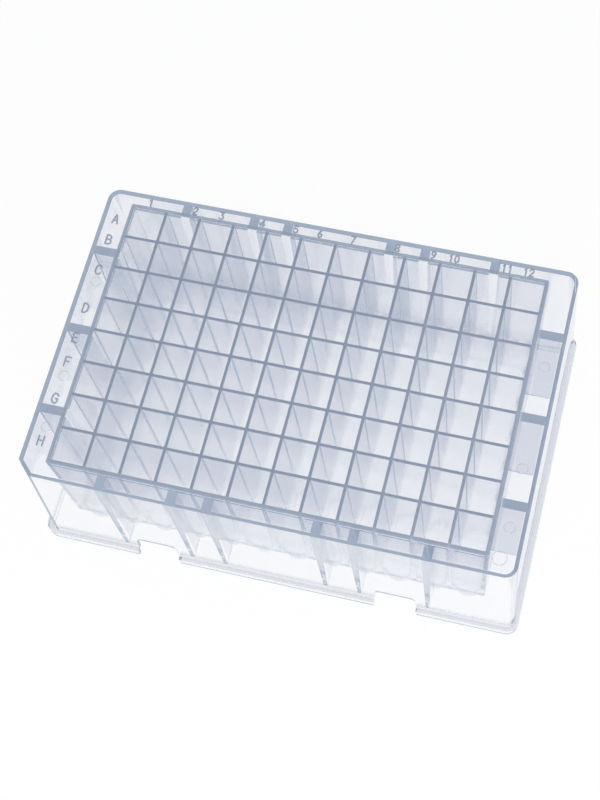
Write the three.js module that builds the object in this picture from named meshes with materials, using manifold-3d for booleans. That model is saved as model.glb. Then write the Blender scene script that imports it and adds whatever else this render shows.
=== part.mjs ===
// A 96-well deep-well plate: one injection moulding in clear polypropylene.
//
// Millimetres, +Z up. The origin is the centre of the base, on the surface it stands on.
// Columns run along +X, so column 1 is on the -X side, and row A is on the +Y side.
// Square, tapered wells with round bottoms hang from a flat deck. A flared skirt carries
// the deck, steps out to a lip at its foot, and is tied to the block of wells by ribs.

import * as THREE from 'three';
import { mergeVertices } from 'three/addons/utils/BufferGeometryUtils.js';
import Module from 'manifold-3d';

const wasm = await Module();
wasm.setup();

// Wells
const COLUMNS = 12;
const ROWS = 8;
const WELL_MOUTH = 8.3; // width of the square mouth
const WELL_FOOT = 7.34; // width of the well at the centre of its round bottom
const WELL_WALL = 0.7; // between two mouths
const TURN_HEIGHT = 2.5; // over which the square well turns round
const BOWL_NECK = 3; // from the centre of the round bottom up to the block's underside
const BOWL_WALL = 0.9;
const BOWL_CLEARANCE = 3.1; // from the base up to the tips of the bowls

// Block of wells, and the deck around it
const HEIGHT = 44; // from the base up to the well mouths
const BLOCK_WALL = 1; // outside the outermost wells
const DECK_DROP = 1; // from the well mouths down to the deck
const DECK_THICKNESS = 1.1;
const END_DECK = 7.08; // from the block to the outer edge of the rim, along X
const SIDE_DECK = 3.94; // the same along Y

// Skirt, whose corner at well H1 is cut off to mark it
const SKIRT_WALL = 1;
const SKIRT_FLARE = 1.15; // how far each side leans out between the rim and the ledge
const RIM_RADIUS = 3.2;
const RIM_CHAMFER = 3.65;
const ANKLE_RADIUS = 2.2; // where the skirt meets the ledge
const ANKLE_CHAMFER = 2.3;

// Lip around the foot
const LEDGE_WIDTH = 1;
const LEDGE_THICKNESS = 1;
const LIP_HEIGHT = 3.5;
const LIP_WALL = 1;
const LIP_RADIUS = 3.2;

// Ribs between the block and the skirt, counted in from the nearest corner
const SIDE_RIB_COLUMNS = [2, 4, 5];
const END_RIB_ROWS = [2];
const RIB_TOP_WIDTH = 2.4;
const RIB_FOOT_WIDTH = 1;
const RIB_CLEARANCE = 4.8; // from the base up to the ribs' lower ends

// Two notches in the -Y side of the foot
const NOTCH_SPACING = 63.8;
const NOTCH_WIDTH = 11.5; // at the base
const NOTCH_TOP_WIDTH = 10.6;
const NOTCH_HEIGHT = 9.8;
const NOTCH_RADIUS = 1.8;

const ARC_STEPS = 4; // per quarter circle
const BOWL_SIDES = 8;
const OVERLAP = 0.5; // how deep joined solids run into each other, and cuts run past a face

// Sizes that follow from those above
const pitch = WELL_MOUTH + WELL_WALL;
const wellHalf = WELL_FOOT / 2;
const bowlRadius = wellHalf + BOWL_WALL;
const bowlCentre = BOWL_CLEARANCE + bowlRadius;
const blockFloor = bowlCentre + BOWL_NECK;
const wellDraft = (WELL_MOUTH / 2 - wellHalf) / (HEIGHT - bowlCentre);
const rimTop = HEIGHT - DECK_DROP;
const deckUnderside = rimTop - DECK_THICKNESS;
const skirtDraft = SKIRT_FLARE / (rimTop - LIP_HEIGHT);

const blockMouth = {
  x: (COLUMNS * pitch - WELL_WALL) / 2 + BLOCK_WALL,
  y: (ROWS * pitch - WELL_WALL) / 2 + BLOCK_WALL,
};
const rim = { x: blockMouth.x + END_DECK, y: blockMouth.y + SIDE_DECK };
const foot = {
  x: rim.x + SKIRT_FLARE + LEDGE_WIDTH,
  y: rim.y + SKIRT_FLARE + LEDGE_WIDTH,
};

const columnX = (column) => (column - (COLUMNS + 1) / 2) * pitch;
const rowY = (row) => ((ROWS + 1) / 2 - row) * pitch;
const blockFace = (side, z) => blockMouth[side] - wellDraft * (HEIGHT - z);
const skirtFace = (side, z) => rim[side] + skirtDraft * (rimTop - z);

// Turns a closed geometry into a solid.
function solid(geometry) {
  geometry.deleteAttribute('normal');
  geometry.deleteAttribute('uv');
  const merged = mergeVertices(geometry, 1e-5);
  const corners = [];
  for (let i = 0; i < merged.index.count; i += 3) {
    const [a, b, c] = merged.index.array.subarray(i, i + 3);
    if (a !== b && b !== c && c !== a) corners.push(a, b, c);
  }
  return new wasm.Manifold(new wasm.Mesh({
    numProp: 3,
    vertProperties: merged.attributes.position.array,
    triVerts: new Uint32Array(corners),
  }));
}

// A solid through convex sections with equally many points, listed from the lowest up,
// each counter-clockwise seen from above.
function loft(sections) {
  const count = sections[0].length;
  const lid = (sections.length - 1) * count;
  const index = [];
  for (let ring = 0; ring < lid; ring += count) {
    for (let i = 0; i < count; i++) {
      const a = ring + i;
      const b = ring + (i + 1) % count;
      index.push(a, b, b + count, a, b + count, a + count);
    }
  }
  for (let i = 1; i + 1 < count; i++) {
    index.push(0, i + 1, i);
    index.push(lid, lid + i, lid + i + 1);
  }
  const geometry = new THREE.BufferGeometry().setFromPoints(sections.flat());
  geometry.setIndex(index);
  return solid(geometry);
}

function rectangle(x0, x1, y0, y1, z) {
  return [
    new THREE.Vector3(x0, y0, z),
    new THREE.Vector3(x1, y0, z),
    new THREE.Vector3(x1, y1, z),
    new THREE.Vector3(x0, y1, z),
  ];
}

// A rectangle with round corners, whose -X -Y corner is cut off if a chamfer is given.
function outline(halfX, halfY, radius, chamfer, z) {
  const points = [];
  if (chamfer) {
    points.push(new THREE.Vector3(-halfX, chamfer - halfY, z));
    points.push(new THREE.Vector3(chamfer - halfX, -halfY, z));
  }
  for (let quarter = chamfer ? 3 : 2; quarter < 6; quarter++) {
    const middle = (quarter + 0.5) * Math.PI / 2;
    const centreX = Math.sign(Math.cos(middle)) * (halfX - radius);
    const centreY = Math.sign(Math.sin(middle)) * (halfY - radius);
    for (let step = 0; step <= ARC_STEPS; step++) {
      const angle = (quarter + step / ARC_STEPS) * Math.PI / 2;
      const x = centreX + radius * Math.cos(angle);
      const y = centreY + radius * Math.sin(angle);
      points.push(new THREE.Vector3(x, y, z));
    }
  }
  return points;
}

// The skirt's outline at a height, set in from its outer face.
function skirtOutline(z, inset) {
  const share = (rimTop - z) / (rimTop - LIP_HEIGHT);
  const radius = THREE.MathUtils.lerp(RIM_RADIUS, ANKLE_RADIUS, share);
  const chamfer = THREE.MathUtils.lerp(RIM_CHAMFER, ANKLE_CHAMFER, share);
  return outline(
    skirtFace('x', z) - inset,
    skirtFace('y', z) - inset,
    radius - inset,
    chamfer - inset * (2 - Math.SQRT2),
    z,
  );
}

function lipOutline(z, inset) {
  return outline(foot.x - inset, foot.y - inset, LIP_RADIUS - inset, 0, z);
}

// An inverted cup: the skirt, the deck across its top and the lip around its foot.
function makeShell() {
  const ledgeUnderside = LIP_HEIGHT - LEDGE_THICKNESS;
  const skirt = loft([skirtOutline(ledgeUnderside, 0), skirtOutline(rimTop, 0)]);
  const lip = loft([lipOutline(0, 0), lipOutline(LIP_HEIGHT, 0)]);
  const underSkirt = loft([
    skirtOutline(ledgeUnderside - OVERLAP, SKIRT_WALL),
    skirtOutline(deckUnderside, SKIRT_WALL),
  ]);
  const insideLip = loft([
    lipOutline(-OVERLAP, LIP_WALL),
    lipOutline(ledgeUnderside, LIP_WALL),
  ]);
  return skirt.add(lip).subtract(underSkirt).subtract(insideLip);
}

function blockSection(z) {
  const x = blockFace('x', z);
  const y = blockFace('y', z);
  return rectangle(-x, x, -y, y, z);
}

// A ring of points around a well's axis. Flats face the neighbouring wells.
function bowlRing(x, y, radius, z) {
  return Array.from({ length: BOWL_SIDES }, (_, i) => {
    const angle = (i - 0.5) * 2 * Math.PI / BOWL_SIDES;
    return new THREE.Vector3(x + radius * Math.cos(angle), y + radius * Math.sin(angle), z);
  });
}

// A square around a well's axis, with as many points as a bowl's ring.
function wellSquare(x, y, half, z) {
  return bowlRing(0, 0, 1, z).map((point) => new THREE.Vector3(
    x + half * Math.sign(point.x),
    y + half * Math.sign(point.y),
    z,
  ));
}

// The lower half of a ball, from its tip to its widest ring.
function bowlSections(x, y, radius) {
  const slant = radius * Math.SQRT1_2;
  return [
    bowlRing(x, y, 0, bowlCentre - radius),
    bowlRing(x, y, slant, bowlCentre - slant),
    bowlRing(x, y, radius, bowlCentre),
  ];
}

function makeBowl(x, y) {
  return loft([
    ...bowlSections(x, y, bowlRadius),
    bowlRing(x, y, bowlRadius, blockFloor + OVERLAP),
  ]);
}

function makeWell(x, y) {
  const squareFoot = blockFloor + TURN_HEIGHT;
  const brim = HEIGHT + OVERLAP;
  const halfAt = (z) => wellHalf + wellDraft * (z - bowlCentre);
  return loft([
    ...bowlSections(x, y, wellHalf),
    bowlRing(x, y, wellHalf, blockFloor),
    wellSquare(x, y, halfAt(squareFoot), squareFoot),
    wellSquare(x, y, halfAt(brim), brim),
  ]);
}

function forEachWell(make) {
  const made = [];
  for (let column = 1; column <= COLUMNS; column++) {
    for (let row = 1; row <= ROWS; row++) made.push(make(columnX(column), rowY(row)));
  }
  return made;
}

// How far from the middle a rib starts and ends, inside the walls that it joins.
function ribSpan(side, z) {
  return [blockFace(side, z) - BLOCK_WALL / 2, skirtFace(side, z) - SKIRT_WALL / 2];
}

function makeRibs() {
  const levels = [
    { z: RIB_CLEARANCE, half: RIB_FOOT_WIDTH / 2 },
    { z: rimTop - DECK_THICKNESS / 2, half: RIB_TOP_WIDTH / 2 },
  ];
  const ribs = [];
  const addPair = (section) => {
    ribs.push(loft(levels.map((level) => section(level, 1))));
    ribs.push(loft(levels.map((level) => section(level, -1))));
  };
  const ends = (side, z, sign) => ribSpan(side, z).map((end) => end * sign).sort((a, b) => a - b);

  for (const column of SIDE_RIB_COLUMNS.flatMap((n) => [n, COLUMNS + 1 - n])) {
    const x = columnX(column);
    addPair(({ z, half }, sign) => rectangle(x - half, x + half, ...ends('y', z, sign), z));
  }
  for (const row of [...END_RIB_ROWS.flatMap((n) => [n, ROWS + 1 - n]), (ROWS + 1) / 2]) {
    const y = rowY(row);
    addPair(({ z, half }, sign) => rectangle(...ends('x', z, sign), y - half, y + half, z));
  }
  return ribs;
}

// The space of one notch: narrower and round-cornered at its top, open at the base.
function makeNotch(x) {
  const lean = (NOTCH_WIDTH - NOTCH_TOP_WIDTH) / 2 / NOTCH_HEIGHT;
  const half = (z) => NOTCH_WIDTH / 2 - lean * z;
  const arcZ = NOTCH_HEIGHT - NOTCH_RADIUS;
  const arcX = half(arcZ) - NOTCH_RADIUS;
  const face = new THREE.Shape();
  face.moveTo(-half(-OVERLAP), -OVERLAP);
  face.lineTo(half(-OVERLAP), -OVERLAP);
  face.absarc(arcX, arcZ, NOTCH_RADIUS, 0, Math.PI / 2);
  face.absarc(-arcX, arcZ, NOTCH_RADIUS, Math.PI / 2, Math.PI);
  face.closePath();
  const inner = rim.y - SKIRT_WALL - OVERLAP;
  const geometry = new THREE.ExtrudeGeometry(face, {
    depth: foot.y + OVERLAP - inner,
    bevelEnabled: false,
    curveSegments: ARC_STEPS,
  });
  geometry.rotateX(Math.PI / 2);
  geometry.translate(x, -inner, 0);
  return solid(geometry);
}

function makePlate() {
  const block = loft([blockSection(blockFloor), blockSection(HEIGHT)]);
  const added = wasm.Manifold.union([makeShell(), block, ...makeRibs(), ...forEachWell(makeBowl)]);
  const notches = [-NOTCH_SPACING / 2, NOTCH_SPACING / 2].map(makeNotch);
  return added.subtract(wasm.Manifold.union([...forEachWell(makeWell), ...notches]));
}

function meshOf(body, name, material) {
  const { vertProperties, triVerts } = body.getMesh();
  const geometry = new THREE.BufferGeometry();
  geometry.setAttribute('position', new THREE.BufferAttribute(vertProperties, 3));
  geometry.setIndex(new THREE.BufferAttribute(triVerts, 1));
  geometry.computeVertexNormals();
  const mesh = new THREE.Mesh(geometry, material);
  mesh.name = name;
  return mesh;
}

const clearPolypropylene = new THREE.MeshStandardMaterial({
  flatShading: true,
  color: 0xd9e0ea,
  roughness: 0.2,
  metalness: 0,
  transparent: true,
  opacity: 0.5,
});

const wellPlate = new THREE.Group();
wellPlate.add(meshOf(makePlate(), 'well_plate', clearPolypropylene));

export default wellPlate;
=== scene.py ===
"""A 96-well deep-well plate, moulded in clear polypropylene, on a white floor."""

import math

import bpy
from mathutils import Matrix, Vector

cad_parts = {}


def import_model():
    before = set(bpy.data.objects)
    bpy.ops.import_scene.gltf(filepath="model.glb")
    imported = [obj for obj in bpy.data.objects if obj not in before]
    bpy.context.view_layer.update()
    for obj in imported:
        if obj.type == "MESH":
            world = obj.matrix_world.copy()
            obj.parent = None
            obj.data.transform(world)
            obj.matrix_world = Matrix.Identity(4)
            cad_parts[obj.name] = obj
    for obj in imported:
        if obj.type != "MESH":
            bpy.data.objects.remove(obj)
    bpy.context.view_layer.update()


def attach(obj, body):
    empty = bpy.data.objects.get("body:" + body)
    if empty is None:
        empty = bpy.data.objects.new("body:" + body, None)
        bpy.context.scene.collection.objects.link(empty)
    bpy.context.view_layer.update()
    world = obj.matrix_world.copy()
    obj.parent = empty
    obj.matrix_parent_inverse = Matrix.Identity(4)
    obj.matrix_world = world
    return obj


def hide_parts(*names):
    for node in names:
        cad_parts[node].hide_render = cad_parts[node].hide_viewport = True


MM = 0.001

# The plate, in millimetres. Column 1 is on the -X side and row A on the +Y side.
COLUMNS = 12
ROWS = 8
PITCH = 9.0
HEIGHT = 44.0

WELL_FOOT = 3.67          # half width of a well where it is round
WELL_MOUTH = 4.12         # half width of a well at its mouth
WELL_CORNER = 0.12        # radius between two walls of a well
MOUTH_EASE = 0.12         # the softened edge of a mouth
BOWL_OUTSIDE = 4.57       # outer radius of the round bottoms
BOWL_CENTRE = 7.67        # height of the centre of the round bottoms
BLOCK_FLOOR = 10.67       # underside of the block of wells
TURN = 2.5                # height over which the square well turns round
WELL_DRAFT = (WELL_MOUTH - WELL_FOOT) / (HEIGHT - BOWL_CENTRE)

BLOCK_X = 54.65           # half size of the block at the mouths
BLOCK_Y = 36.65
BLOCK_RADIUS = 0.35       # of its four corners
BLOCK_EASE = 0.22         # the softened upper edge of the block
DECK = 43.0               # top of the deck
DECK_THICK = 1.1

RIM_X = 61.73             # half size of the skirt at the deck
RIM_Y = 40.59
FLARE = 1.15              # how far the skirt leans out down to the ledge
SKIRT_WALL = 1.0
RIM_RADIUS = 3.2
RIM_CHAMFER = 3.65        # the cut corner at well H1
ANKLE_RADIUS = 2.2
ANKLE_CHAMFER = 2.3
EDGE = 0.3                # rounding of the rim's and the lip's upper edges
INNER_EDGE = 0.15         # rounding between the skirt and the deck's underside

FOOT_X = 63.88            # half size of the lip
FOOT_Y = 42.74
LIP_HEIGHT = 3.5
LIP_WALL = 1.0
LIP_RADIUS = 3.2
LIP_FOOT_EASE = 0.15      # the softened lower edge of the lip
LEDGE_THICK = 1.0

RIB_COLUMNS = (2, 4, 5, 8, 9, 11)
RIB_ROWS = (2, 4.5, 7)
RIB_TOP = 1.2             # half width
RIB_FOOT = 0.5
RIB_LOW = 4.8             # height of the lower ends of the ribs

NOTCH_X = 31.9
NOTCH_HALF = 5.75
NOTCH_TOP_HALF = 5.3
NOTCH_HEIGHT = 9.8
NOTCH_RADIUS = 1.8

MARK_HEIGHT = 0.25        # of the raised letters and numbers
LETTER_SIZE = 2.5
NUMBER_SIZE = 2.0
MARK_NARROW = 0.84        # width of a mark, as a share of its natural width
MARK_STROKE = 0.22        # half width of a stroke at the deck
MARK_TOP = 0.7            # its half width at the top, as a share of that
MARK_ROOT = 0.3           # how far marks and pin rings reach down into the deck
FIELD_HEIGHT = 3          # height of the field that a mark is drawn on
FIELD_STEP = 2.7          # from one digit to the next on it

COLUMN_MARKS = {
    "1": -50.2, "2": -38.0, "3": -31.0, "4": -20.0, "5": -11.2, "6": -4.8,
    "7": 3.8, "8": 15.4, "9": 24.8, "10": 30.1, "11": 43.5, "12": 49.2,
}
COLUMN_MARKS_Y = 38.2
ROW_MARKS = {
    "A": 31.8, "B": 25.6, "C": 16.7, "D": 5.6,
    "E": -2.9, "F": -9.6, "G": -19.7, "H": -31.2,
}
ROW_MARKS_X = -57.8

# Raised rings that the ejector pins leave on the deck: x, y and radius.
PIN_MARKS = (
    (57.8, 13.6, 1.5), (57.8, -13.4, 1.5), (57.8, -28.4, 1.5), (57.0, -36.2, 1.9),
    (-57.5, -13.4, 1.5), (-57.5, -27.4, 1.5), (-57.5, 13.4, 1.5),
)
PIN_HEIGHT = 0.1
PIN_SIDE = 0.06           # height of a ring's upright side
PIN_BEVEL = 0.06          # width of the bevel above it
DISH_FLOOR = 0.02         # height of the floor inside a ring
DISH_FOOT = 0.36          # from the ring's outside to the edge of that floor
DISH_TOP = 0.24           # the same, well above the ring

# Strokes of the letters and numbers, on a field 2 wide and 3 high.
STROKES = {
    "A": (((0, 0), (1, 3), (2, 0)), ((0.35, 1), (1.65, 1))),
    "B": (((0, 0), (0, 3), (1.2, 3), (1.7, 2.6), (1.7, 2), (1.2, 1.6), (0, 1.6)),
          ((1.2, 1.6), (1.9, 1.2), (1.9, 0.4), (1.3, 0), (0, 0))),
    "C": (((2, 2.4), (1.5, 3), (0.6, 3), (0, 2.3), (0, 0.7), (0.6, 0), (1.5, 0), (2, 0.6)),),
    "D": (((0, 0), (0, 3), (1.1, 3), (1.9, 2.2), (1.9, 0.8), (1.1, 0), (0, 0)),),
    "E": (((1.9, 0), (0, 0), (0, 3), (1.9, 3)), ((0, 1.6), (1.5, 1.6))),
    "F": (((0, 0), (0, 3), (1.9, 3)), ((0, 1.6), (1.5, 1.6))),
    "G": (((2, 2.4), (1.5, 3), (0.6, 3), (0, 2.3), (0, 0.7), (0.6, 0), (1.5, 0), (2, 0.5),
           (2, 1.4), (1.2, 1.4)),),
    "H": (((0, 0), (0, 3)), ((1.9, 0), (1.9, 3)), ((0, 1.6), (1.9, 1.6))),
    "0": (((1, 0), (0.2, 0.6), (0.2, 2.4), (1, 3), (1.8, 2.4), (1.8, 0.6), (1, 0)),),
    "1": (((0.5, 2.3), (1.1, 3), (1.1, 0)),),
    "2": (((0.1, 2.3), (0.6, 3), (1.4, 3), (1.8, 2.4), (1.6, 1.7), (0.1, 0), (1.9, 0)),),
    "3": (((0.1, 3), (1.8, 3), (0.9, 1.8), (1.6, 1.6), (1.9, 0.9), (1.4, 0.1), (0.6, 0),
           (0, 0.5)),),
    "4": (((1.4, 0), (1.4, 3), (0, 0.9), (2, 0.9)),),
    "5": (((1.8, 3), (0.3, 3), (0.1, 1.6), (1.1, 1.9), (1.8, 1.4), (1.8, 0.6), (1.1, 0),
           (0.1, 0.3)),),
    "6": (((1.7, 2.9), (0.9, 2.7), (0.2, 1.6), (0.2, 0.6), (1, 0), (1.8, 0.5), (1.8, 1.3),
           (1.1, 1.8), (0.2, 1.2)),),
    "7": (((0, 3), (1.9, 3), (0.7, 0)),),
    "8": (((1, 1.6), (0.2, 2), (0.2, 2.6), (1, 3), (1.8, 2.6), (1.8, 2), (1, 1.6),
           (0.1, 1), (0.1, 0.4), (1, 0), (1.9, 0.4), (1.9, 1), (1, 1.6)),),
    "9": (((0.3, 0.1), (1.1, 0.3), (1.8, 1.4), (1.8, 2.4), (1, 3), (0.2, 2.5), (0.2, 1.7),
           (0.9, 1.2), (1.8, 1.8)),),
}

OVERLAP = 0.5             # how far a tool reaches past a face that it cuts or joins

# How finely the round shapes are divided.
CORNER_STEPS = 10
BLOCK_CORNER_STEPS = 2
NOTCH_STEPS = 6
EDGE_STEPS = 3
MOUTH_STEPS = 4
TURN_STEPS = 4
STROKE_STEPS = 4
PIN_SIDES = 32
WELL_SIDES = 24           # divisible by 4
BOWL_RINGS = 8
BOWL_TIP = 6              # degrees between a bowl's axis and its first ring

# The plastic. Base colours tint the light that passes a face; the block of wells, its
# outer faces, the deck, the ribs and the ledge each have their own, for their thickness;
# those of the outer faces, the deck, the ribs and the ledge are darker still, as painted shade.
IOR = 1.49
CLEAR = (1, 1, 1, 1)
BLOCK_CLEAR = (0.972, 0.974, 0.984, 1)
# Painted shade: the block's outer faces are tinted darker than their thickness gives.
BLOCK_SIDE_SHADE = (0.82, 0.83, 0.885, 1)
BOTTOM = (0.985, 0.987, 0.99, 1)        # of the round bottoms behind another wall
# Tint of the deck for its thickness, and painted shade for the shadowed floor seen through it.
DECK_TINT_AND_SHADE = (0.93, 0.94, 0.96, 1)
# Tint of the ribs for their thickness, and painted shade for the light lost inside them.
RIB_TINT_AND_SHADE = (0.7, 0.735, 0.8, 1)
# Painted shade: the ledge's upper face is tinted dark, for the dim light seen down through the
# lip.
LEDGE_SHADE = (0.6, 0.61, 0.67, 1)
TINT = (0.433, 0.50, 0.70, 1)
TINT_DENSITY = 12
ROUGHNESS = (0.022, 0.042)              # least and most
BLOCK_ROUGHNESS = 0.075   # by which the block is rougher than the rest
WAVES = 260               # scale of the moulded surface's unevenness
WAVE_STRENGTH = 0.05
WAVE_HEIGHT = 0.0002
WAVE_DETAIL = 2

# Painted shade: the tops of the walls and the raised marks are a mostly matt slate,
# standing in for the dim light that the walls guide up from below.
MATT_SHADE = (0.245, 0.295, 0.38, 1)
OUTER_MATT_SHADE = (0.31, 0.375, 0.46, 1)     # lighter painted shade, on the tops of the block's outer walls
MATT_SHADE_SHARE = 0.7
CREST = 0.07              # depth of the painted matt shade at the tops of the walls
MARK_START = 0.03         # height over the deck at which a mark begins to take the painted shade

# Painted glow: rays that the walls mirror more than once, or that have met too many faces, end in
# this slate emission.
TRAPPED_GLOW = (0.36, 0.43, 0.53, 1)
BLOCK_TRAPPED_GLOW = (0.42, 0.485, 0.595, 1)
MIRRORS = 1.5             # light mirrored more often than this is trapped
LONG_PATH = 24.5          # light that has met more faces than this is trapped
FIRST_WALL = 1.5          # a ray that has met more faces looks through another wall

# What the lamp's and the sky's light keeps of itself at each face on its way to the floor.
PASSED = (0.985, 0.988, 0.992, 1)
BLOCK_PASSED = (0.975, 0.978, 0.983, 1)

# Bounds of zones, in millimetres: half sizes, a height, margins and tolerances.
MOUTHS_X = 53.55          # out to the outermost mouths
MOUTHS_Y = 35.55
INNER_X = 53.9            # between the outer faces and the wells
INNER_Y = 35.9
BOTTOMS_X = 51.5          # between the outermost round bottoms' fronts and the rest
BOTTOMS_Y = 33.5
BOTTOMS_TOP = 13.5
LEVEL = 0.05              # how far from the ledge's upper face still counts as on it
BLOCK_MARGIN = 0.1        # by which the zones of the block and of the deck are wider
SKIRT_MARGIN = 0.2        # by which the zone inside the skirt is narrower
UPRIGHT = 0.04            # largest vertical part of the normal of an upright wall

# The white floor and the sky; each is brighter where it is seen than as a light.
PAPER = (0.96, 0.965, 0.98, 1)
PAPER_ROUGHNESS = 0.9
WHITE_SEEN = 0.88         # how much of the floor is pure white where the camera sees it
WHITE_BEHIND = 0.62       # the same where it is seen through the plastic or mirrored in it
FLOOR_HALF = 2.0          # half its side, in metres
FLOOR_GAP = 0.00002       # how far it lies below the plate, in metres
SKY_COLOUR = (0.96, 0.975, 1, 1)
SKY = 0.48                # strength as a light; the camera sees it at 1
SKY_BEHIND = 0.95         # strength where it is seen through the plastic or mirrored in it

# The one lamp, a square softbox that faces the plate's middle; metres and watts.
LAMP_WATTS = 7.8
LAMP_SIDE = 0.5
LAMP_PLACE = (0.22, -0.68, 0.68)
LAMP_TARGET = (0, 0, 0.02)

# The camera, as the photo's perspective gives it.
CAMERA_PLACE = (0.068576, -0.138300, 0.374675)
CAMERA_TURN = (21.3811, 3.4968, 13.6563)    # degrees about X, Y and Z
CAMERA_LENS = 66.91
CAMERA_SHIFT = (-0.0711, 0.0601)
CAMERA_SENSOR = 36
CAMERA_NEAR = 0.01

BOUNCES = 40              # a path through many walls is long
CLEAR_BOUNCES = 64        # through faces that a ray passes without bending
SHARP_ANGLE = 28          # edges sharper than this, in degrees, stay sharp
FACE_WEIGHT = 100         # lets large faces decide how the softened edges are shaded


def column_x(column):
    return (column - (COLUMNS + 1) / 2) * PITCH


def row_y(row):
    return ((ROWS + 1) / 2 - row) * PITCH


def skirt_lean(z):
    """How far the skirt's face has leaned out from the rim, at a height."""
    return FLARE * (DECK - z) / (DECK - LIP_HEIGHT)


def loft(sections):
    """Points and faces of a closed solid through rings of equally many points."""
    count = len(sections[0])
    points = [point for section in sections for point in section]
    faces = [tuple(reversed(range(count)))]
    for ring in range(0, len(points) - count, count):
        for i in range(count):
            a, b = ring + i, ring + (i + 1) % count
            faces.append((a, b, b + count, a + count))
    faces.append(tuple(range(len(points) - count, len(points))))
    return points, faces


def solid(name, parts):
    """One object from several closed solids that don't touch each other."""
    points, faces = [], []
    for part_points, part_faces in parts:
        base = len(points)
        points += [Vector(p) * MM for p in part_points]
        faces += [tuple(base + i for i in face) for face in part_faces]
    mesh = bpy.data.meshes.new(name)
    mesh.from_pydata(points, [], faces)
    mesh.update()
    obj = bpy.data.objects.new(name, mesh)
    bpy.context.scene.collection.objects.link(obj)
    return obj


def cut(target, tool, operation):
    """Joins the tool to the target, or cuts it away, and removes the tool."""
    modifier = target.modifiers.new("cut", "BOOLEAN")
    modifier.operation = operation
    modifier.solver = "MANIFOLD"
    modifier.object = tool
    depsgraph = bpy.context.evaluated_depsgraph_get()
    mesh = bpy.data.meshes.new_from_object(target.evaluated_get(depsgraph))
    target.modifiers.remove(modifier)
    old = target.data
    target.data = mesh
    bpy.data.meshes.remove(old)
    bpy.data.objects.remove(tool)


def arc(cx, cy, radius, start, steps):
    """Points of a quarter circle, both ends included."""
    turn = math.pi / 2 / steps
    return [(cx + radius * math.cos(start + i * turn), cy + radius * math.sin(start + i * turn))
            for i in range(steps + 1)]


def outline(half_x, half_y, radius, chamfer, z, steps=CORNER_STEPS):
    """A rectangle with round corners, whose -X -Y corner is cut off if a chamfer is given."""
    x, y = half_x - radius, half_y - radius
    if chamfer:
        corner = [(-half_x, chamfer - half_y)]
        corner += [(-half_x + chamfer * i / steps, -half_y + chamfer * (1 - i / steps))
                   for i in range(1, steps + 1)]
    else:
        corner = arc(-x, -y, radius, math.pi, steps)
    points = corner + arc(x, -y, radius, -math.pi / 2, steps)
    points += arc(x, y, radius, 0, steps) + arc(-x, y, radius, math.pi / 2, steps)
    return [(px, py, z) for px, py in points]


def skirt_outline(z, inset):
    share = (DECK - z) / (DECK - LIP_HEIGHT)
    radius = RIM_RADIUS + (ANKLE_RADIUS - RIM_RADIUS) * share
    chamfer = RIM_CHAMFER + (ANKLE_CHAMFER - RIM_CHAMFER) * share
    lean = skirt_lean(z)
    return outline(RIM_X + lean - inset, RIM_Y + lean - inset, radius - inset,
                   chamfer - inset * (2 - math.sqrt(2)), z)


def lip_outline(z, inset):
    return outline(FOOT_X - inset, FOOT_Y - inset, LIP_RADIUS - inset, 0, z)


def eased(section, top, edge):
    """The upper sections of a solid whose top edge is rounded."""
    sections = []
    for i in range(EDGE_STEPS + 1):
        turn = i * math.pi / (2 * EDGE_STEPS)
        sections.append(section(top - edge * (1 - math.sin(turn)), edge * (1 - math.cos(turn))))
    return sections


def make_shell():
    under = LIP_HEIGHT - LEDGE_THICK
    shell = solid("well_plate_body", [loft(
        [skirt_outline(under, 0)] + eased(skirt_outline, DECK, EDGE))])
    lip = [lip_outline(0, LIP_FOOT_EASE), lip_outline(LIP_FOOT_EASE, 0)]
    lip += eased(lip_outline, LIP_HEIGHT, EDGE)
    cut(shell, solid("lip", [loft(lip)]), "UNION")
    inside = [skirt_outline(under - OVERLAP, SKIRT_WALL)]
    inside += eased(lambda z, inset: skirt_outline(z, SKIRT_WALL + inset),
                    DECK - DECK_THICK, INNER_EDGE)
    cut(shell, solid("inside", [loft(inside)]), "DIFFERENCE")
    foot = [lip_outline(-OVERLAP, LIP_WALL), lip_outline(under, LIP_WALL)]
    cut(shell, solid("foot", [loft(foot)]), "DIFFERENCE")
    return shell


def block_section(z, inset=0):
    lean = WELL_DRAFT * (HEIGHT - z) + inset
    x, y = BLOCK_X - lean, BLOCK_Y - lean
    return outline(x, y, BLOCK_RADIUS, 0, z, BLOCK_CORNER_STEPS)


def ring(x, y, half, radius, z):
    """A square with round corners around a well's axis; a circle if radius is half."""
    quarter = WELL_SIDES // 4
    points = []
    for i in range(WELL_SIDES):
        angle = (i + 0.5) * 2 * math.pi / WELL_SIDES
        side = i // quarter
        corner_x = (half - radius) * (1 if side in (0, 3) else -1)
        corner_y = (half - radius) * (1 if side < 2 else -1)
        points.append((x + corner_x + radius * math.cos(angle),
                       y + corner_y + radius * math.sin(angle), z))
    return points


def ball(x, y, radius):
    """The lower half of a ball, from near its tip to its widest ring."""
    sections = []
    for i in range(BOWL_RINGS):
        turn = math.radians(BOWL_TIP + (90 - BOWL_TIP) / (BOWL_RINGS - 1) * i)
        sections.append(ring(x, y, radius * math.sin(turn), radius * math.sin(turn),
                             BOWL_CENTRE - radius * math.cos(turn)))
    return sections


def make_bowl(x, y):
    top = BLOCK_FLOOR + OVERLAP
    return loft(ball(x, y, BOWL_OUTSIDE) + [ring(x, y, BOWL_OUTSIDE, BOWL_OUTSIDE, top)])


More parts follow.
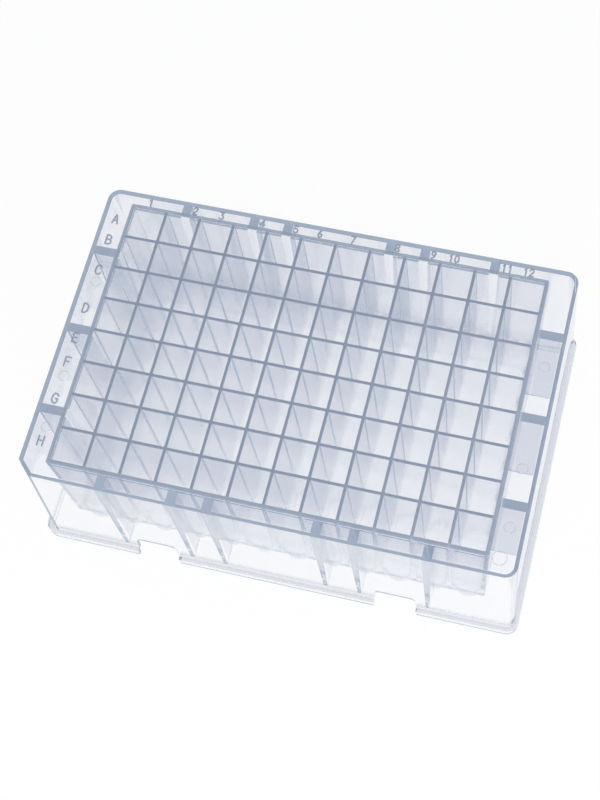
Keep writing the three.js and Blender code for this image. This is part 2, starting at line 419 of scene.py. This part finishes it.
def make_well(x, y):
    def half(z):
        return WELL_FOOT + WELL_DRAFT * (z - BOWL_CENTRE)

    sections = ball(x, y, WELL_FOOT)
    for i in range(TURN_STEPS + 1):
        share = i / TURN_STEPS
        z = BLOCK_FLOOR + TURN * share
        corner = half(z) + (WELL_CORNER - half(z)) * math.sin(share * math.pi / 2)
        sections.append(ring(x, y, half(z), corner, z))
    foot = HEIGHT - MOUTH_EASE
    wide = half(foot) + MOUTH_EASE
    for i in range(MOUTH_STEPS + 1):
        turn = i * math.pi / (2 * MOUTH_STEPS)
        sections.append(ring(x, y, wide - MOUTH_EASE * math.cos(turn), WELL_CORNER,
                             foot + MOUTH_EASE * math.sin(turn)))
    sections.append(ring(x, y, wide, WELL_CORNER, HEIGHT + OVERLAP))
    return loft(sections)


def box_section(x0, x1, y0, y1, z):
    return [(x0, y0, z), (x1, y0, z), (x1, y1, z), (x0, y1, z)]


def make_ribs():
    levels = ((RIB_LOW, RIB_FOOT), (DECK - DECK_THICK / 2, RIB_TOP))
    ribs = []
    for sign in (-1, 1):
        for column in RIB_COLUMNS:
            x = column_x(column)
            sections = []
            for z, half in levels:
                ends = sorted((sign * (BLOCK_Y - WELL_DRAFT * (HEIGHT - z) - OVERLAP),
                               sign * (RIM_Y + skirt_lean(z) - SKIRT_WALL / 2)))
                sections.append(box_section(x - half, x + half, *ends, z))
            ribs.append(loft(sections))
        for row in RIB_ROWS:
            y = row_y(row)
            sections = []
            for z, half in levels:
                ends = sorted((sign * (BLOCK_X - WELL_DRAFT * (HEIGHT - z) - OVERLAP),
                               sign * (RIM_X + skirt_lean(z) - SKIRT_WALL / 2)))
                sections.append(box_section(*ends, y - half, y + half, z))
            ribs.append(loft(sections))
    return ribs


def make_notch(x):
    """The space of a notch, from its outer face inwards."""
    lean = (NOTCH_HALF - NOTCH_TOP_HALF) / NOTCH_HEIGHT
    arc_z = NOTCH_HEIGHT - NOTCH_RADIUS
    arc_x = NOTCH_HALF - lean * arc_z - NOTCH_RADIUS
    face = [(-NOTCH_HALF, -OVERLAP), (NOTCH_HALF, -OVERLAP)]
    face += arc(arc_x, arc_z, NOTCH_RADIUS, 0, NOTCH_STEPS)
    face += arc(-arc_x, arc_z, NOTCH_RADIUS, math.pi / 2, NOTCH_STEPS)
    inner = -(RIM_Y - SKIRT_WALL - OVERLAP)
    outer = -(FOOT_Y + OVERLAP)
    return loft([[(x + px, inner, pz) for px, pz in face],
                 [(x + px, outer, pz) for px, pz in face]])


def stroke(a, b):
    """One raised stroke between two points of the deck, with sloping sides."""
    a, b = Vector(a), Vector(b)
    along = math.atan2(b.y - a.y, b.x - a.x)
    sections = []
    for z, half in ((DECK - MARK_ROOT, MARK_STROKE), (DECK, MARK_STROKE),
                    (DECK + MARK_HEIGHT, MARK_STROKE * MARK_TOP)):
        section = []
        for end, side in ((b, -math.pi / 2), (a, math.pi / 2)):
            for i in range(STROKE_STEPS + 1):
                angle = along + side + i * math.pi / STROKE_STEPS
                section.append((end.x + half * math.cos(angle),
                                end.y + half * math.sin(angle), z))
        sections.append(section)
    return loft(sections)


def add_mark(plate, text, x, y, size):
    scale = size / FIELD_HEIGHT
    across = scale * MARK_NARROW
    lines = [[(px + FIELD_STEP * i, py) for px, py in line]
             for i, letter in enumerate(text) for line in STROKES[letter]]
    ends = [px for line in lines for px, py in line]
    middle = (min(ends) + max(ends)) / 2
    for line in lines:
        points = [(x + (px - middle) * across, y + (py - FIELD_HEIGHT / 2) * scale)
                  for px, py in line]
        for a, b in zip(points, points[1:]):
            cut(plate, solid("stroke", [stroke(a, b)]), "UNION")


def make_marks():
    """All raised marks as one solid; built apart so that each join is quick."""
    marks = solid("marks", [])
    for text, x in COLUMN_MARKS.items():
        add_mark(marks, text, x, COLUMN_MARKS_Y, NUMBER_SIZE)
    for text, y in ROW_MARKS.items():
        add_mark(marks, text, ROW_MARKS_X, y, LETTER_SIZE)
    return marks


def circle(x, y, radius, z):
    turns = [i * 2 * math.pi / PIN_SIDES for i in range(PIN_SIDES)]
    return [(x + radius * math.cos(turn), y + radius * math.sin(turn), z) for turn in turns]


def make_pins(part):
    """The round pads of the pin rings, or the dishes that are cut into the pads."""
    pins = []
    for x, y, radius in PIN_MARKS:
        if part == "pad":
            levels = ((DECK - MARK_ROOT, radius), (DECK + PIN_SIDE, radius),
                      (DECK + PIN_HEIGHT, radius - PIN_BEVEL))
        else:
            levels = ((DECK + DISH_FLOOR, radius - DISH_FOOT),
                      (DECK + OVERLAP, radius - DISH_TOP))
        pins.append(loft([circle(x, y, r, z) for z, r in levels]))
    return pins


def make_plate():
    plate = make_shell()
    block = [block_section(BLOCK_FLOOR), block_section(HEIGHT - BLOCK_EASE),
             block_section(HEIGHT, BLOCK_EASE)]
    cut(plate, solid("block", [loft(block)]), "UNION")
    cut(plate, solid("ribs", make_ribs()), "UNION")
    wells = [(c, r) for c in range(1, COLUMNS + 1) for r in range(1, ROWS + 1)]
    for parity in (0, 1):
        bowls = [make_bowl(column_x(c), row_y(r)) for c, r in wells if (c + r) % 2 == parity]
        cut(plate, solid("bowls", bowls), "UNION")
    cut(plate, make_marks(), "UNION")
    cut(plate, solid("pads", make_pins("pad")), "UNION")
    cut(plate, solid("dishes", make_pins("dish")), "DIFFERENCE")
    hollows = [make_well(column_x(c), row_y(r)) for c, r in wells]
    cut(plate, solid("wells", hollows), "DIFFERENCE")
    cut(plate, solid("notches", [make_notch(-NOTCH_X), make_notch(NOTCH_X)]), "DIFFERENCE")
    return plate


def finish_mesh(plate):
    for polygon in plate.data.polygons:
        polygon.use_smooth = True
    plate.data.set_sharp_from_angle(angle=math.radians(SHARP_ANGLE))
    weighted = plate.modifiers.new("weighted normals", "WEIGHTED_NORMAL")
    weighted.keep_sharp = True
    weighted.weight = FACE_WEIGHT


def feed(tree, socket, value):
    """Gives a socket a fixed value, or links it to the output of another node."""
    if isinstance(value, bpy.types.NodeSocket):
        tree.links.new(value, socket)
    else:
        socket.default_value = value


def maths(tree, operation, *values):
    node = tree.nodes.new("ShaderNodeMath")
    node.operation = operation
    for socket, value in zip(node.inputs, values):
        feed(tree, socket, value)
    return node.outputs[0]


def opposite(tree, share):
    return maths(tree, "SUBTRACT", 1.0, share)


def tone(tree, share, first, second):
    """The first colour where the share is 0 and the second where it is 1."""
    node = tree.nodes.new("ShaderNodeMix")
    node.data_type = "RGBA"
    feed(tree, node.inputs["Factor"], share)
    feed(tree, node.inputs["A"], first)
    feed(tree, node.inputs["B"], second)
    return node.outputs["Result"]


def blend(tree, share, first, second):
    """The first shader where the share is 0 and the second where it is 1."""
    node = tree.nodes.new("ShaderNodeMixShader")
    for socket, value in zip(node.inputs, (share, first, second)):
        feed(tree, socket, value)
    return node.outputs["Shader"]


def glass_pass(tree, colour):
    node = tree.nodes.new("ShaderNodeBsdfTransparent")
    feed(tree, node.inputs["Color"], colour)
    return node.outputs["BSDF"]


def within(tree, x, y, half_x, half_y):
    """1 inside a rectangle around the middle of the plate, given in millimetres."""
    in_x = maths(tree, "LESS_THAN", maths(tree, "ABSOLUTE", x), half_x * MM)
    in_y = maths(tree, "LESS_THAN", maths(tree, "ABSOLUTE", y), half_y * MM)
    return maths(tree, "MULTIPLY", in_x, in_y)


def even_normal(tree, normal, in_block):
    """The normal in world space, with the drafted walls of the wells made upright."""
    parts = tree.nodes.new("ShaderNodeSeparateXYZ")
    feed(tree, parts.inputs[0], normal)
    x, y, z = parts.outputs
    upright = maths(tree, "LESS_THAN", maths(tree, "ABSOLUTE", z), UPRIGHT)
    kept = opposite(tree, maths(tree, "MULTIPLY", upright, in_block))
    even = tree.nodes.new("ShaderNodeCombineXYZ")
    for socket, value in zip(even.inputs, (x, y, maths(tree, "MULTIPLY", z, kept))):
        feed(tree, socket, value)
    world = tree.nodes.new("ShaderNodeVectorTransform")
    world.vector_type = "NORMAL"
    world.convert_from = "OBJECT"
    world.convert_to = "WORLD"
    feed(tree, world.inputs[0], even.outputs[0])
    unit = tree.nodes.new("ShaderNodeVectorMath")
    unit.operation = "NORMALIZE"
    feed(tree, unit.inputs[0], world.outputs[0])
    return unit.outputs[0]


def moulded_surface(tree, plastic, place, in_block):
    """Makes the plastic barely uneven, and a little duller in places."""
    wave = tree.nodes.new("ShaderNodeTexNoise")
    wave.inputs["Scale"].default_value = WAVES
    wave.inputs["Detail"].default_value = WAVE_DETAIL
    feed(tree, wave.inputs["Vector"], place.outputs["Object"])
    dull = tree.nodes.new("ShaderNodeMapRange")
    dull.inputs["To Min"].default_value = ROUGHNESS[0]
    dull.inputs["To Max"].default_value = ROUGHNESS[1]
    feed(tree, dull.inputs["Value"], wave.outputs["Fac"])
    hazy = maths(tree, "MULTIPLY", in_block, BLOCK_ROUGHNESS)
    feed(tree, plastic.inputs["Roughness"],
         maths(tree, "ADD", dull.outputs["Result"], hazy))
    bump = tree.nodes.new("ShaderNodeBump")
    bump.inputs["Strength"].default_value = WAVE_STRENGTH
    bump.inputs["Distance"].default_value = WAVE_HEIGHT
    feed(tree, bump.inputs["Height"], wave.outputs["Fac"])
    feed(tree, bump.inputs["Normal"], even_normal(tree, place.outputs["Normal"], in_block))
    feed(tree, plastic.inputs["Normal"], bump.outputs["Normal"])


def plastic_colour(tree, plastic, axes, in_block, bottoms):
    """Tints each zone, some darker as painted shade; paints the wall tops and raised marks matt
    slate, as shade.
    """
    x, y, z = axes
    outside = opposite(tree, in_block)
    high = maths(tree, "GREATER_THAN", z, BOTTOMS_TOP * MM)
    inner = maths(tree, "MULTIPLY", high, within(tree, x, y, INNER_X, INNER_Y))
    # Painted shade: the block's outer faces are tinted darker than the wells inside.
    wells = tone(tree, maths(tree, "MAXIMUM", inner, bottoms), BLOCK_SIDE_SHADE, BLOCK_CLEAR)

    under_deck = maths(tree, "LESS_THAN", z, (DECK - DECK_THICK - BLOCK_MARGIN) * MM)
    skirt = within(tree, x, y, RIM_X - SKIRT_WALL - SKIRT_MARGIN,
                   RIM_Y - SKIRT_WALL - SKIRT_MARGIN)
    between = maths(tree, "MULTIPLY", outside, skirt)
    colour = tone(tree, in_block, CLEAR, wells)
    # The deck and the ribs are tinted for their thickness and darker still, as painted shade.
    colour = tone(tree, between, colour, tone(tree, under_deck, DECK_TINT_AND_SHADE, RIB_TINT_AND_SHADE))
    # Painted shade: the ledge's upper face is tinted dark.
    off_ledge = maths(tree, "ABSOLUTE", maths(tree, "SUBTRACT", z, LIP_HEIGHT * MM))
    on_ledge = maths(tree, "LESS_THAN", off_ledge, LEVEL * MM)
    colour = tone(tree, on_ledge, colour, LEDGE_SHADE)

    # Painted shade: the tops of the walls and the raised marks get a mostly matt slate.
    crest = maths(tree, "MULTIPLY", in_block,
                  maths(tree, "GREATER_THAN", z, (HEIGHT - CREST) * MM))
    proud = tree.nodes.new("ShaderNodeMapRange")
    proud.inputs["From Min"].default_value = (DECK + MARK_START) * MM
    proud.inputs["From Max"].default_value = (DECK + MARK_HEIGHT) * MM
    feed(tree, proud.inputs["Value"], z)
    marks = maths(tree, "MULTIPLY", outside, proud.outputs["Result"])
    matt_shade_mask = maths(tree, "MAXIMUM", crest, marks)
    amid = maths(tree, "MAXIMUM", outside, within(tree, x, y, MOUTHS_X, MOUTHS_Y))
    matt_shade_colour = tone(tree, amid, OUTER_MATT_SHADE, MATT_SHADE)
    feed(tree, plastic.inputs["Base Color"], tone(tree, matt_shade_mask, colour, matt_shade_colour))
    feed(tree, plastic.inputs["Transmission Weight"],
         opposite(tree, maths(tree, "MULTIPLY", matt_shade_mask, MATT_SHADE_SHARE)))


def polypropylene():
    """Clear plastic that bends the light, with short cuts for the light inside it and a painted
    slate glow where it is trapped.
    """
    material = bpy.data.materials.new("polypropylene")
    material.use_nodes = True
    tree = material.node_tree
    nodes = tree.nodes
    plastic = nodes["Principled BSDF"]
    plastic.inputs["IOR"].default_value = IOR
    place = nodes.new("ShaderNodeTexCoord")
    parts = nodes.new("ShaderNodeSeparateXYZ")
    feed(tree, parts.inputs[0], place.outputs["Object"])
    x, y, z = parts.outputs
    in_block = within(tree, x, y, BLOCK_X + BLOCK_MARGIN, BLOCK_Y + BLOCK_MARGIN)
    low = maths(tree, "LESS_THAN", z, BOTTOMS_TOP * MM)
    bottoms = maths(tree, "MULTIPLY", low, within(tree, x, y, BOTTOMS_X, BOTTOMS_Y))
    moulded_surface(tree, plastic, place, in_block)
    plastic_colour(tree, plastic, (x, y, z), in_block, bottoms)

    # Painted glow: rays trapped inside the walls end in a slate-blue emission instead of being
    # traced on.
    path = nodes.new("ShaderNodeLightPath")
    depth = path.outputs["Ray Depth"]
    mirrored = maths(tree, "SUBTRACT", depth, path.outputs["Transmission Depth"])
    trapped = maths(tree, "MAXIMUM", maths(tree, "GREATER_THAN", mirrored, MIRRORS),
                    maths(tree, "GREATER_THAN", depth, LONG_PATH))
    painted_glow = nodes.new("ShaderNodeEmission")
    feed(tree, painted_glow.inputs["Color"], tone(tree, in_block, TRAPPED_GLOW, BLOCK_TRAPPED_GLOW))
    surface = blend(tree, trapped, plastic.outputs["BSDF"], painted_glow.outputs["Emission"])

    # Behind other walls the round bottoms show what is under them without bending it.
    behind = maths(tree, "GREATER_THAN", depth, FIRST_WALL)
    surface = blend(tree, maths(tree, "MULTIPLY", bottoms, behind), surface,
                    glass_pass(tree, BOTTOM))

    # Light of the lamp and the sky reaches the floor through the plastic.
    falling = maths(tree, "MAXIMUM", path.outputs["Is Shadow Ray"], path.outputs["Is Diffuse Ray"])
    passed = glass_pass(tree, tone(tree, in_block, PASSED, BLOCK_PASSED))
    surface = blend(tree, falling, surface, passed)
    output = nodes["Material Output"]
    feed(tree, output.inputs["Surface"], surface)

    # The plastic itself takes a little of the light, blue the least.
    tint = nodes.new("ShaderNodeVolumeAbsorption")
    tint.inputs["Color"].default_value = TINT
    tint.inputs["Density"].default_value = TINT_DENSITY
    feed(tree, output.inputs["Volume"], tint.outputs["Volume"])
    return material


def indirect_sight(tree, path):
    """1 for a ray that has been bent or mirrored on its way from the camera."""
    return maths(tree, "MAXIMUM", path.outputs["Is Transmission Ray"],
                 path.outputs["Is Glossy Ray"])


def make_floor():
    mesh = bpy.data.meshes.new("floor")
    half = FLOOR_HALF
    corners = [(-half, -half), (half, -half), (half, half), (-half, half)]
    mesh.from_pydata([(x, y, -FLOOR_GAP) for x, y in corners], [], [(0, 1, 2, 3)])
    floor = bpy.data.objects.new("floor", mesh)
    bpy.context.scene.collection.objects.link(floor)
    material = bpy.data.materials.new("white_floor")
    material.use_nodes = True
    tree = material.node_tree
    paint = tree.nodes["Principled BSDF"]
    paint.inputs["Base Color"].default_value = PAPER
    paint.inputs["Roughness"].default_value = PAPER_ROUGHNESS
    white = tree.nodes.new("ShaderNodeEmission")
    path = tree.nodes.new("ShaderNodeLightPath")
    seen = maths(tree, "MULTIPLY", path.outputs["Is Camera Ray"], WHITE_SEEN)
    behind = maths(tree, "MULTIPLY", indirect_sight(tree, path), WHITE_BEHIND)
    surface = blend(tree, maths(tree, "MAXIMUM", seen, behind), paint.outputs["BSDF"],
                    white.outputs["Emission"])
    feed(tree, tree.nodes["Material Output"].inputs["Surface"], surface)
    mesh.materials.append(material)


def make_sky():
    world = bpy.data.worlds.new("studio")
    world.use_nodes = True
    tree = world.node_tree
    background = tree.nodes["Background"]
    background.inputs["Color"].default_value = SKY_COLOUR
    path = tree.nodes.new("ShaderNodeLightPath")
    behind = maths(tree, "MULTIPLY", indirect_sight(tree, path), SKY_BEHIND - SKY)
    strength = maths(tree, "MAXIMUM", path.outputs["Is Camera Ray"],
                     maths(tree, "ADD", SKY, behind))
    feed(tree, background.inputs["Strength"], strength)
    bpy.context.scene.world = world


def add_lamp():
    lamp = bpy.data.lights.new("softbox", "AREA")
    lamp.shape = "SQUARE"
    lamp.size = LAMP_SIDE
    lamp.energy = LAMP_WATTS
    box = bpy.data.objects.new("softbox", lamp)
    box.location = LAMP_PLACE
    aim = Vector(LAMP_TARGET) - box.location
    box.rotation_euler = aim.to_track_quat("-Z", "Y").to_euler()
    bpy.context.scene.collection.objects.link(box)


def place_camera():
    camera = bpy.data.cameras.new("camera")
    camera.sensor_width = CAMERA_SENSOR
    camera.lens = CAMERA_LENS
    camera.shift_x, camera.shift_y = CAMERA_SHIFT
    camera.clip_start = CAMERA_NEAR
    holder = bpy.data.objects.new("camera", camera)
    holder.location = CAMERA_PLACE
    holder.rotation_euler = [math.radians(angle) for angle in CAMERA_TURN]
    bpy.context.scene.collection.objects.link(holder)
    bpy.context.scene.camera = holder


def main():
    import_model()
    scene = bpy.context.scene
    scene.view_settings.view_transform = "Standard"
    scene.cycles.max_bounces = BOUNCES
    scene.cycles.transmission_bounces = BOUNCES
    scene.cycles.glossy_bounces = BOUNCES
    scene.cycles.transparent_max_bounces = CLEAR_BOUNCES

    plate = make_plate()
    finish_mesh(plate)
    plate.data.materials.clear()
    plate.data.materials.append(polypropylene())
    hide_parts("well_plate")
    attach(plate, "root")

    make_floor()
    make_sky()
    add_lamp()
    place_camera()


main()
